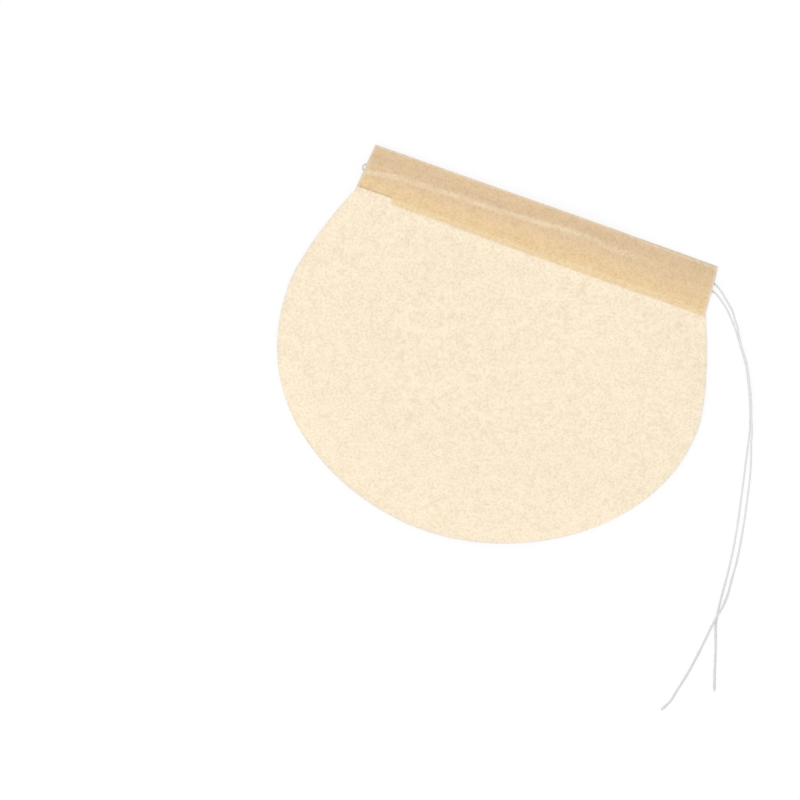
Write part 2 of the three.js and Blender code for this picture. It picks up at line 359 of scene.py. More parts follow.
def sharedLift(x, y):
    shiftedX = x + lift["shiftX"]
    shiftedY = y + lift["shiftY"]
    waves = 0.5 + 0.5 * softNoise(shiftedX, shiftedY, lift["cell"], lift["cell"], lift["seed"])
    middleY = (bag["topY"] + bag["bottomY"]) / 2
    outwards = np.hypot(x / bag["halfWidth"], (y - middleY) / (bag["topY"] - middleY))
    edge = smoothStep((outwards - lift["growsFrom"]) / lift["growsOver"])
    ripples = 0.5 + 0.5 * softNoise(x, y, lift["rippleCell"], lift["rippleCell"], lift["seed"] + 1)
    nearRim = smoothStep((outwards - lift["rippleFrom"]) / lift["rippleOver"])
    ripples = lift["ripple"] * ripples * nearRim
    exitX = np.maximum(x - lift["calmX"], 0.0) - lift["exitX"]
    toExit = np.hypot(exitX, y - bag["topY"] + lift["exitDepth"])
    calm = smoothStep((lift["calmX"] + lift["calmRun"] - x) / lift["calmRun"])
    calm = np.maximum(calm, smoothStep(toExit / lift["calmRun"] - lift["exitCalm"]))
    return (lift["height"] * waves * edge + ripples) * calm


# The mouth is not pressed quite shut: the front hem stands off the rear one in the middle
# and comes down to it towards both ends and down the body.
mouth = {"gap": 0.0008, "middleX": -0.004, "halfLength": 0.037, "run": 0.024}


def mouthGap(x, y):
    along = np.clip(1 - ((x - mouth["middleX"]) / mouth["halfLength"]) ** 2, 0, 1) ** 2
    return mouth["gap"] * along * smoothStep(1 - (bag["topY"] - y) / mouth["run"])


# A tube whose section has one bulge for each ply, |cos| of the angle with its creases turned
# along the string, so that each column of the grid follows a ply. A cut end flares a little,
# where the plies come loose, and is rounded by the equation of a circle.
def yarn(name, line, startTurn, cutEnd, seed):
    plies = string["plies"]
    sides = plies * string["sidesPerPly"]
    radius = string["diameter"] / 2
    along = np.concatenate([[0.0], np.cumsum(np.linalg.norm(np.diff(line, axis=0), axis=1))])
    forward = np.gradient(line, axis=0)
    forward = forward / np.linalg.norm(forward, axis=1, keepdims=True)
    sideways = np.cross(forward, [0.0, 0.0, 1.0])
    sideways = sideways / np.linalg.norm(sideways, axis=1, keepdims=True)
    upwards = np.cross(sideways, forward)
    around = np.arange(sides) * 2 * math.pi / sides
    turned = around[None, :] + startTurn + 2 * math.pi * along[:, None] / string["turn"]
    bulge = np.abs(np.cos(plies * around / 2)) ** string["bulgePower"]
    loosened = smoothStep((along - string["loosensFrom"]) / string["loosensOver"]) * cutEnd
    thickness = softNoise(along, 0 * along + seed, string["slubLength"], 1.0, seed)
    thickness = mix(string["tight"], string["loose"], loosened) * (1 + string["slub"] * thickness)
    plyPlace = around[None, :] * plies / (2 * math.pi)
    ply = softNoise(along[:, None], plyPlace, string["plyWanderLength"], 1.0, seed + 1)
    reach = radius * thickness[:, None] * (1 - string["creaseDepth"] * (1 - bulge[None, :]))
    reach = reach * (1 + string["plyWander"] * ply)
    ends = np.ones(len(line))
    if cutEnd:
        left = along[-1] - along
        ends = 1 + string["endFlare"] * smoothStep(1 - left / string["flareRun"])
        ends = ends * np.sqrt(1 - (1 - np.clip(left / radius, 0.02, 1)) ** 2)
    reach = reach * ends[:, None]
    across = (reach * np.cos(turned))[..., None] * sideways[:, None, :]
    up = (reach * np.sin(turned))[..., None] * upwards[:, None, :]
    points = line[:, None, :] + across + up
    points[..., 2] = np.maximum(points[..., 2], string["lowest"])
    points, faces = tubeFaces(points)
    frayed, frayedFaces = frayedTip(line, forward, seed) if cutEnd else (points[:0], [])
    faces = faces + [[i + len(points) for i in face] for face in frayedFaces]
    piece = addObject(name, np.vstack([points, frayed]), faces)
    for place, values in (
        ("crease", 1 - bulge),
        ("along", along[:, None]),
        ("around", around * radius),
        ("loosened", loosened[:, None]),
    ):
        values = np.broadcast_to(values, (len(line), sides)).ravel()
        addFloats(piece, place, np.concatenate([values, np.full(len(frayed), values[-1])]))
    turnAtEnd = startTurn + 2 * math.pi * along[-1] / string["turn"]
    return piece, along[-1], turnAtEnd


# Points and faces of tubes from an array of rings: (rings, sides, 3), closed at both ends.
def tubeFaces(points):
    rings, sides = points.shape[:2]
    index = np.arange(rings * sides).reshape(rings, sides)
    after = np.roll(index, -1, axis=1)
    quads = np.stack([index[:-1], index[1:], after[1:], after[:-1]], axis=-1)
    faces = quads.reshape(-1, 4).tolist()
    faces = faces + [index[0].tolist(), index[-1, ::-1].tolist()]
    return points.reshape(-1, 3), faces


# The cut end, come loose: thin tapered fibres that start inside the string and spread.
fray = {
    "fibres": 40,
    "shortest": 0.0002,
    "longest": 0.0006,
    "thickness": 0.00003,
    "startSpread": 0.3,  # of the string's diameter
    "spread": 0.3,
    "taper": 0.75,  # share of its thickness that a fibre loses
    "curl": 0.00012,
    "inside": 0.0003,
    "rings": 7,
    "sides": 5,
}


def frayedTip(line, forward, seed):
    rng = np.random.default_rng(seed)
    count = fray["fibres"]
    tip = line[-1]
    ahead = forward[-1]
    beside = np.cross(ahead, [0.0, 0.0, 1.0])
    angle = rng.uniform(0, 2 * math.pi, count)[:, None]
    out = np.cos(angle) * beside + np.sin(angle) * np.array([0.0, 0.0, 1.0])
    startReach = fray["startSpread"] * string["diameter"] * out * rng.random((count, 1))
    start = tip - fray["inside"] * ahead + startReach
    length = rng.uniform(fray["shortest"], fray["longest"], (count, 1))
    bend = rng.normal(0, fray["curl"], (count, 3))
    share = np.linspace(0, 1, fray["rings"])[None, :, None]
    heading = ahead + fray["spread"] * rng.random((count, 1)) * out
    middle = start[:, None] + (heading * (length + fray["inside"]))[:, None] * share
    middle = middle + bend[:, None] * share**2
    floor = fray["thickness"]
    middle[..., 2] = floor + np.abs(middle[..., 2] - floor)
    tangent = np.gradient(middle, axis=1)
    tangent = tangent / np.linalg.norm(tangent, axis=2, keepdims=True)
    side = np.cross(tangent, [0.0, 0.0, 1.0])
    side = side / np.maximum(np.linalg.norm(side, axis=2, keepdims=True), 1e-6)
    up = np.cross(side, tangent)
    around = np.arange(fray["sides"]) * 2 * math.pi / fray["sides"]
    thick = fray["thickness"] / 2 * (1 - fray["taper"] * share)[..., None]
    ring = np.cos(around)[:, None] * side[:, :, None] + np.sin(around)[:, None] * up[:, :, None]
    points = middle[:, :, None] + thick * ring
    faces = []
    for k in range(count):
        _, fibreFaces = tubeFaces(points[k])
        first = k * fray["rings"] * fray["sides"]
        faces = faces + [[i + first for i in face] for face in fibreFaces]
    return points.reshape(-1, 3), faces


def makeString():
    frontLine = curveThrough(frontTailRoute, string["ringSpacing"])
    backLine = curveThrough(backTailRoute, string["ringSpacing"])
    run, _, runTurn = yarn("string_in_hems", runLine(), 0.0, False, 11)
    back, backLength, _ = yarn("back_string_tail", backLine, runTurn, True, 12)
    front, frontLength, _ = yarn("front_string_tail", frontLine, 0.4, True, 13)
    for piece, node in (
        (run, "drawstring_run"),
        (back, "drawstring_back_tail"),
        (front, "drawstring_front_tail"),
    ):
        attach(piece, "root")
        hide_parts(node)
    for piece, line, length in (
        (front, frontLine, frontLength),
        (back, backLine, backLength),
    ):
        print(piece.name, "is", round(length * 1000, 1), "mm long")
    return [run, back, front]


stringPieces = makeString()
print("drawstring made")


# The right half of the round body's outline: one cubic Bezier from the hem's corner to the
# widest place and one from there to the lowest point, then equal steps along it.
def bezier(start, startHandle, endHandle, end):
    t = np.linspace(0.0, 1.0, 400)[:, None]
    start, startHandle, endHandle, end = map(np.array, (start, startHandle, endHandle, end))
    curve = (1 - t) ** 3 * start + 3 * (1 - t) ** 2 * t * startHandle
    return curve + 3 * (1 - t) * t**2 * endHandle + t**3 * end


def bodyOutline():
    wide = bag["halfWidth"]
    corner = (bag["hemBottomWidth"] / 2, hemBottomY)
    cornerHandle = (corner[0] + bag["cornerLean"], corner[1] - bag["cornerRun"])
    sideHandle = (wide, widestY + bag["sideRound"] * (hemBottomY - widestY))
    lowerHandle = (wide, widestY - bag["lowerRound"] * (widestY - bag["bottomY"]))
    bottomHandle = (bag["bottomRound"] * wide, bag["bottomY"])
    upper = bezier(corner, cornerHandle, sideHandle, (wide, widestY))
    lower = bezier((wide, widestY), lowerHandle, bottomHandle, (0.0, bag["bottomY"]))
    return np.vstack([upper, lower[1:]])


outline = bodyOutline()
outlineSteps = np.linalg.norm(np.diff(outline, axis=0), axis=1)
outlineShare = np.concatenate([[0.0], np.cumsum(outlineSteps)]) / outlineSteps.sum()


def outlineAt(share):
    x = np.interp(share, outlineShare, outline[:, 0])
    y = np.interp(share, outlineShare, outline[:, 1])
    return x, y


# A place on the body, from across (-1 to 1) and down (0 to 1): the hem's line and the bottom
# curve are blended downwards, and each point is moved out by what the side curve adds. Below
# the widest place everything leans to the left, by 3t^2 - 2t^3 of the bottom's shift.
def bodyPlace(across, down):
    sideX, sideY = outlineAt(bag["cornerShare"] * down)
    bottomX, bottomY = outlineAt(1 - (1 - bag["cornerShare"]) * np.abs(across))
    cornerX, cornerY = outlineAt(bag["cornerShare"])
    halfHem = bag["hemBottomWidth"] / 2
    x = mix(across * halfHem, np.sign(across) * bottomX, down)
    x = x + across * (sideX - mix(halfHem, cornerX, down))
    y = mix(hemBottomY, bottomY, down) + sideY - mix(hemBottomY, cornerY, down)
    belowWidest = (widestY - y) / (widestY - bag["bottomY"])
    return x - bag["bottomShift"] * smoothStep(belowWidest), y


# What a slope's length is multiplied by, to wander along the hem and apart on its two sides
def unevenSlope(x, offset, amount):
    return 1.0 + amount * softNoise(x, np.sign(offset) + 0 * x, bag["unevenCell"], 0.7, 21)


# How far the paper rises over a line along the hem: a crown and a smooth slope on each side
def ridge(x, depth, lineDepth, slope, rise):
    slope = slope * unevenSlope(x, depth - lineDepth, bag["innerUneven"])
    beside = np.abs(depth - lineDepth) - bag["ridgeCrown"]
    return rise * smoothStep(1 - beside / slope)


# The crest that the front string presses into the paper. Towards the hem's left end it sags
# from that string to the one behind it.
crestSag = [
    (-0.0460, 0.0021),
    (-0.0402, 0.0014),
    (-0.0377, 0.00097),
    (-0.0352, 0.00059),
    (-0.0327, 0.00036),
    (-0.0302, 0.00023),
    (-0.0277, 0.0001),
    (-0.0240, 0.0),
    (0.0460, 0.0),
]


def crestDepth(x):
    return string["frontDepth"] + wander(x) + alongHem(crestSag, x)


# The outermost layer's rise: level over both strings, with a long slope on each side.
def tent(x, depth):
    spacing = string["backDepth"] - string["frontDepth"]
    offset = depth - string["frontDepth"] - spacing / 2 - wander(x)
    beside = np.abs(offset) - spacing / 2 - bag["ridgeCrown"]
    slope = np.where(offset < 0, bag["tentUpperSlope"], bag["tentLowerSlope"])
    slope = slope * unevenSlope(x, offset, bag["tentUneven"])
    return bag["tentRise"] * smoothStep(1 - beside / slope)


# The flaps' cut edges, as depths below the fold. The rear flap is a little shorter, and the
# front one has a short trimmed stretch at the left end.
flap = {
    "front": 0.01215,
    "rear": 0.0107,
    "rearWander": 0.0002,
    "wanderCell": 0.02,
    "trimmedX": -0.0343,
    "trimRun": 0.0004,
    "trimmedDepth": 0.01025,
}


def frontFlapEdge(x):
    trimmed = smoothStep(0.5 + (flap["trimmedX"] - x) / flap["trimRun"])
    return mix(flap["front"], flap["trimmedDepth"], trimmed)


def rearFlapEdge(x):
    return flap["rear"] + flap["rearWander"] * softNoise(x, 0 * x, flap["wanderCell"], 1.0, 22)


# The rear hem's fold is the bag's highest edge. The front hem is folded a little lower
# towards its right end, and shows a strip of the rear one there.
fold = {"frontDrop": 0.00035, "dropX": 0.018, "dropRun": 0.012}


def frontFoldDrop(x):
    return fold["frontDrop"] * smoothStep((x - fold["dropX"]) / fold["dropRun"])


def rearFoldDrop(x):
    return 0 * x


# Loose paper over the hem's channel: it is puffed a little between fold and seal, with fine
# creases that run along the hem and cross it at a slant here and there.
creases = {
    "puff": 0.00016,
    "puffCellX": 0.011,
    "puffCellY": 0.004,
    "puffFrom": 0.002,  # it rises over this length below the fold
    "puffTo": 0.003,  # and fades over this one above the seal
    "tightFold": 0.0012,  # the fine creases come in over this length below the fold
    "alongHem": 0.00008,
    "cellX": 0.0085,
    "cellY": 0.00095,
    "slant": 0.00006,
    "slantCellX": 0.003,
    "slantCellY": 0.0022,
    "markX": -0.0066,  # a small curved mark in the sealed strip
    "markDepth": 0.0086,
    "markRadius": 0.0008,
    "markRise": 0.00008,
    "markWidth": 0.00016,
}


def looseHem(x, depth):
    aboveSeal = (bag["sealTop"] - depth) / creases["puffTo"]
    channel = smoothStep(depth / creases["puffFrom"]) * smoothStep(aboveSeal + 0.25)
    uneven = 0.6 + 0.4 * softNoise(x, depth, creases["puffCellX"], creases["puffCellY"], 31)
    puffed = creases["puff"] * channel * uneven
    long = softNoise(x + 2.2 * depth, depth, creases["cellX"], creases["cellY"], 32)
    slantX = x + 0.9 * depth
    slantY = depth - 0.4 * x
    slant = softNoise(slantX, slantY, creases["slantCellX"], creases["slantCellY"], 33)
    belowFold = smoothStep(depth / creases["tightFold"])
    fine = creases["alongHem"] * np.clip(long, 0, 1) + creases["slant"] * np.clip(slant, 0, 1)
    toMark = np.hypot(x - creases["markX"], depth - creases["markDepth"])
    ring = np.exp(-(((toMark - creases["markRadius"]) / creases["markWidth"]) ** 2))
    facing = smoothStep((x - creases["markX"]) / creases["markRadius"] + 0.2)
    return puffed + belowFold * fine + creases["markRise"] * ring * facing


# The body stands off the back panel in a low belly, flat at the rim, with soft waves in it
# and short puckers below the sealed flap.
body = {
    "waves": 0.00016,
    "waveCell": 0.011,
    "waveStretch": 1.6,
    "pucker": 0.00007,
    "puckerCell": 0.0021,
    "puckerStretch": 4,
    "puckerStart": 0.0015,
    "puckerRun": 0.009,
}


def bellyHeight(x, y, across, down):
    rimShare = bag["rim"] / bag["halfWidth"]
    sideways = np.minimum(1, np.abs(across) / (1 - rimShare))
    downwards = np.minimum(1, down / (1 - rimShare))
    free = (1 - sideways**4) * (1 - (2 * downwards - 1) ** 4)
    waveLength = body["waveStretch"] * body["waveCell"]
    waves = 0.5 + 0.5 * softNoise(x + 0.3 * y, y, body["waveCell"], waveLength, 41)
    below = hemBottomY - y
    puckerLength = body["puckerStretch"] * body["puckerCell"]
    puckers = np.abs(softNoise(x, y, body["puckerCell"], puckerLength, 42))
    puckers = puckers * smoothStep(below / body["puckerStart"])
    puckers = puckers * smoothStep(1 - below / body["puckerRun"])
    inside = smoothStep((1 - sideways) * 12)
    return bag["belly"] * free + body["waves"] * waves * free + body["pucker"] * puckers * inside


# The middle of one folded sheet, as a grid of points: down the rows it goes from the flap's
# cut edge up to the fold, round it in a half circle, down the wall and on to the rim.
grid = {"columns": 200, "flapRows": 34, "foldRows": 7, "wallRows": 38, "bodyRows": 112}


def folded(foldDrop, flapEdge, flapHeight, wallHeight, bodyHeight):
    paper = bag["paper"]
    foldRadius = bag["layerPitch"] / 2
    across = np.linspace(-1.0, 1.0, grid["columns"] + 1)[None, :]
    foldDepth = foldRadius + paper / 2 + foldDrop(across * bag["hemTopWidth"] / 2)

    def hemX(depth):
        return across * mix(bag["hemTopWidth"], bag["hemBottomWidth"], depth / bag["hemHeight"]) / 2

    def layer(depth, heightAt):
        x = hemX(depth)
        return np.stack(np.broadcast_arrays(x, bag["topY"] - depth, heightAt(x, depth)), axis=-1)

    share = np.linspace(1.0, 0.0, grid["flapRows"])[:, None]
    flapDepth = mix(foldDepth, flapEdge(hemX(bag["hemHeight"])), share)
    flapRows = layer(flapDepth, flapHeight)
    wallDepth = mix(foldDepth, bag["hemHeight"], np.linspace(0.0, 1.0, grid["wallRows"])[:, None])
    wallRows = layer(wallDepth, wallHeight)
    angle = (np.linspace(0.0, math.pi, grid["foldRows"] + 2)[1:-1])[:, None]
    middle = (flapRows[-1:, :, 2] + wallRows[:1, :, 2]) / 2
    reach = (flapRows[-1:, :, 2] - wallRows[:1, :, 2]) / 2
    foldY = bag["topY"] - foldDepth + foldRadius * np.sin(angle)
    foldZ = middle + reach * np.cos(angle)
    foldRows = np.stack(np.broadcast_arrays(hemX(foldDepth), foldY, foldZ), axis=-1)
    down = np.linspace(0.0, 1.0, grid["bodyRows"] + 1)[1:, None]
    x, y = bodyPlace(across, down)
    bodyRows = np.stack([x, y, bodyHeight(x, y, across, down)], axis=-1)
    return np.concatenate([flapRows, foldRows, wallRows, bodyRows])


# A closed sheet of paper round its middle: the grid is moved half the thickness each way
# along its normals, the cross product of its two directions, and joined along its edges.
# The cut edges are square, so the shading breaks there.
def paperSheet(name, middle):
    normal = np.cross(np.gradient(middle, axis=0), np.gradient(middle, axis=1))
    normal = normal / np.linalg.norm(normal, axis=2, keepdims=True)
    rows, columns = middle.shape[:2]
    half = bag["paper"] / 2 * normal
    points = np.concatenate([(middle + half).reshape(-1, 3), (middle - half).reshape(-1, 3)])
    one = np.arange(rows * columns).reshape(rows, columns)
    other = one + rows * columns
    cells = np.stack([one[:-1, :-1], one[1:, :-1], one[1:, 1:], one[:-1, 1:]], axis=-1)
    backs = np.stack([other[:-1, :-1], other[:-1, 1:], other[1:, 1:], other[1:, :-1]], axis=-1)
    ring = np.concatenate([one[0, :-1], one[:-1, -1], one[-1, :0:-1], one[:0:-1, 0]])
    under = ring + rows * columns
    edges = np.stack([ring, np.roll(ring, -1), np.roll(under, -1), under], axis=-1)
    faces = np.concatenate([cells.reshape(-1, 4), backs.reshape(-1, 4), edges])
    piece = addObject(name, points, faces.tolist())
    onCut = np.zeros(len(points), bool)
    onCut[ring] = True
    onCut[under] = True
    ends = np.zeros(2 * len(piece.data.edges), int)
    piece.data.edges.foreach_get("vertices", ends)
    piece.data.edges.foreach_set("use_edge_sharp", onCut[ends.reshape(-1, 2)].all(axis=1))
    piece.data.update()
    addPlaces(piece, points)
    return piece


# How far the grid's points are inside the sheet's outline, from the nearer side or from the
# bottom: their share of the way in, times the half width or the body's height.
def insideOutline():
    hemRows = grid["flapRows"] + grid["foldRows"] + grid["wallRows"]
    across = np.linspace(-1.0, 1.0, grid["columns"] + 1)[None, :]
    down = np.linspace(0.0, 1.0, grid["bodyRows"] + 1)[1:]
    down = np.concatenate([np.zeros(hemRows), down])[:, None]
    fromSide = (1 - np.abs(across)) * bag["halfWidth"]
    fromBottom = (1 - down) * (hemBottomY - bag["bottomY"])
    return np.minimum(fromSide, fromBottom).ravel()


# Places on the paper in mm, from which its material works out what shows through: how far a
# point is inside the outline, below the front fold, below the crest along the string and
# inside each flap's cut edge.
def addPlaces(piece, points):
    x = points[:, 0]
    depth = bag["topY"] - points[:, 1]
    addFloats(piece, "insideOutline", np.tile(insideOutline(), 2) / mm)
    addFloats(piece, "belowFold", (depth - frontFoldDrop(x)) / mm)
    addFloats(piece, "belowCrest", (depth - crestDepth(x)) / mm)
    addFloats(piece, "insideFrontFlap", (frontFlapEdge(x) - depth) / mm)
    addFloats(piece, "insideRearFlap", (rearFlapEdge(x) - depth) / mm)


def makePanels():
    paper = bag["paper"]
    pitch = bag["layerPitch"]

    def backWall(x, depth):
        return paper / 2 + sharedLift(x, bag["topY"] - depth)

    def backFlap(x, depth):
        lineDepth = string["backDepth"] + wander(x)
        over = ridge(x, depth, lineDepth, bag["innerSlope"], bag["ridgeRise"])
        return pitch + backWall(x, depth) + over

    def frontFlap(x, depth):
        return pitch + backFlap(x, depth) + mouthGap(x, bag["topY"] - depth)

    def frontWall(x, depth):
        crest = ridge(x, depth, crestDepth(x), bag["crestSlope"], bag["crestRise"])
        flat = 3.5 * paper + sharedLift(x, bag["topY"] - depth) + mouthGap(x, bag["topY"] - depth)
        spanned = flat + tent(x, depth) + crest
        loose = looseHem(x, depth) * smoothStep((bag["hemHeight"] - depth) / 0.001 + 0.3)
        return np.maximum(spanned, pitch + frontFlap(x, depth)) + loose

    def backBody(x, y, across, down):
        return paper / 2 + sharedLift(x, y)

    def frontBody(x, y, across, down):
        edgeX = across * bag["hemBottomWidth"] / 2
        shared = sharedLift(edgeX, hemBottomY) + mouthGap(edgeX, hemBottomY)
        step = frontWall(edgeX, bag["hemHeight"] + 0 * edgeX) - 1.5 * paper - shared
        pastFlap = bag["topY"] - flap["front"] - y
        eased = step * (1 - smoothStep(pastFlap / bag["stepRun"]))
        low = 1.5 * paper + sharedLift(x, y) + mouthGap(x, y)
        return low + eased + bellyHeight(x, y, across, down)

    backGrid = folded(rearFoldDrop, rearFlapEdge, backFlap, backWall, backBody)
    frontGrid = folded(frontFoldDrop, frontFlapEdge, frontFlap, frontWall, frontBody)
    back = paperSheet("back_panel_paper", backGrid)
    front = paperSheet("front_panel_paper", frontGrid)
    for piece, node, edge, below in (
        (back, "back_panel", flap["rear"], ()),
        (front, "front_panel", flap["front"], (back,)),
    ):
        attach(piece, "root")
        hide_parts(node)
    return back, front


backPanel, frontPanel = makePanels()
print("paper panels made")


# Turns an sRGB hex value into the linear colour that the shaders take
def colour(hexValue):
    parts = [int(hexValue[i : i + 2], 16) / 255 for i in (1, 3, 5)]
    linear = [c / 12.92 if c <= 0.04045 else ((c + 0.055) / 1.055) ** 2.4 for c in parts]
    return (*linear, 1.0)


# Adds a node, sets what is given and links what is a socket
def addNode(tree, kind, settings=None, **inputs):
    node = tree.nodes.new(kind)
    for name, value in (settings or {}).items():
        setattr(node, name, value)
    for name, value in inputs.items():
        key = int(name[1:]) if name[0] == "i" and name[1:].isdigit() else name.replace("_", " ")
        if isinstance(value, bpy.types.NodeSocket):
            tree.links.new(value, node.inputs[key])
        else:
            node.inputs[key].default_value = value
    return node


def newMaterial(name):
    material = bpy.data.materials.new(name)
    material.use_nodes = True
    material.node_tree.nodes.clear()
    return material, material.node_tree


def blendColours(tree, share, first, second, way="MIX"):
    settings = {"data_type": "RGBA", "blend_type": way}
    node = addNode(tree, "ShaderNodeMix", settings, i0=share, i6=first, i7=second)
    return node.outputs[2]


def attributeOf(tree, name):
    return addNode(tree, "ShaderNodeAttribute", {"attribute_name": name}).outputs["Fac"]


def spread(tree, value, low, high, bottom=0.0, top=1.0):
    inputs = {"Value": value, "From_Min": low, "From_Max": high, "To_Min": bottom, "To_Max": top}
    settings = {"interpolation_type": "SMOOTHSTEP"}
    return addNode(tree, "ShaderNodeMapRange", settings, **inputs).outputs[0]


def noiseAt(tree, place, size, detail=2.0, stretch=(1.0, 1.0, 1.0), turn=0.0, roughness=0.5):
    settings = {"vector_type": "TEXTURE"}
    grainScale = [size * s for s in stretch]
    angle = (0.0, 0.0, math.radians(turn))
    inputs = {"Vector": place, "Scale": grainScale, "Rotation": angle}
    grain = addNode(tree, "ShaderNodeMapping", settings, **inputs)
    inputs = {"Vector": grain.outputs[0], "Scale": 1.0, "Detail": detail, "Roughness": roughness}
    return addNode(tree, "ShaderNodeTexNoise", None, **inputs).outputs["Fac"]


def calculate(tree, operation, *values):
    inputs = {f"i{k}": value for k, value in enumerate(values)}
    return addNode(tree, "ShaderNodeMath", {"operation": operation}, **inputs).outputs[0]


# A soft line where a value in mm is near the wanted one
def lineAt(tree, value, wanted, halfWidth):
    offset = calculate(tree, "SUBTRACT", value, wanted)
    return spread(tree, calculate(tree, "ABSOLUTE", offset), 0.35 * halfWidth, halfWidth, 1.0, 0.0)


# A rough, uncoated surface with relief, as the material's result
def addMattSurface(tree, look, tone, relief):
    inputs = {"Strength": look["reliefShare"], "Distance": look["relief"], "Height": relief}
    bump = addNode(tree, "ShaderNodeBump", None, **inputs)
    inputs = {"Base_Color": tone, "Roughness": look["roughness"], "Normal": bump.outputs[0]}
    inputs["Specular_IOR_Level"] = look["sheen"]
    shader = addNode(tree, "ShaderNodeBsdfPrincipled", None, **inputs)
    addNode(tree, "ShaderNodeOutputMaterial", None, Surface=shader.outputs[0])


# Unbleached wood-pulp filter paper, wet-laid and uncoated: matt, cream where two layers lie
# on white and tan where four do, cloudy, with short felted fibres and a few bark specks.
paperFinish = {
    "twoLayers": "#feefd6",
    "fourLayers": "#e5c9a4",
    "sealedLayers": "#efd2a3",
    "overString": "#f0dcbc",
    "foldEdge": "#eee0cc",
    "cutEdge": "#eceae6",
    # painted highlight where the flap's cut edge catches the light
    "edgeHighlight": "#fff0d6",
    # painted shadow along the trimmed stretch of the flap's edge
    "trimShadow": "#c9ab83",
    "cloudDark": "#d6ccb8",
    "fibre": "#cfc4ae",
    "speck": "#a08560",
    "frontFlapShare": 0.8,  # of the hem's darkening, the rest comes with the rear flap
    "cloud": 2.4,  # mm, size of the pulp's cloudy patches
    "fineCloud": 0.6,
    "fibreLength": 2.6,
    "fibreWidth": 0.2,  # drawn about five times too wide, or it would not show
    "speckSpacing": 2.6,
    "sealLineShare": 0.16,
    "foldShare": 0.75,
    "edgeHighlightShare": 0.55,
    "trimShare": 0.6,
    "cutEdgeShare": 0.42,
    "cloudShare": 0.14,
    "fineCloudShare": 0.3,
    "fibreShare": 0.1,
    "speckShare": 0.5,
    "fibreTurns": (12.0, 74.0, 131.0),  # degrees
    "relief": 0.00006,  # metres
    "reliefShare": 0.35,
    "roughness": 0.93,
    "sheen": 0.25,
}


